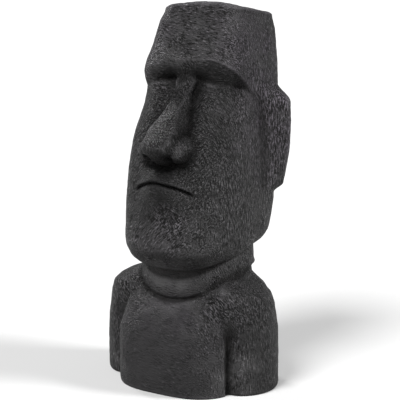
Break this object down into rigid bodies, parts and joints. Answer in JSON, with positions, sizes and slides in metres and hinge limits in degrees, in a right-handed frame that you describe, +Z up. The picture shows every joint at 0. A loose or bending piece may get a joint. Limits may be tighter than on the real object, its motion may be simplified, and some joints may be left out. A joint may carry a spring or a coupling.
{
  "type": "moai statue",
  "caption": "Dark moai bust with a long face, heavy brow, long ears and a flat foot, cast in one piece as a garden ornament.",
  "frame": {"origin": "middle of the flat underside", "axes": "+Z up, the face looks along -Y, +X is the statue's own left"},
  "size_m": [0.2988, 0.2776, 0.6009],
  "materials": {
    "cast_stone": "semi-matt dark charcoal, tooled all over with short strokes"
  },
  "bodies": {
    "root": {"moai_statue": "cast_stone"}
  },
  "joints": []
}
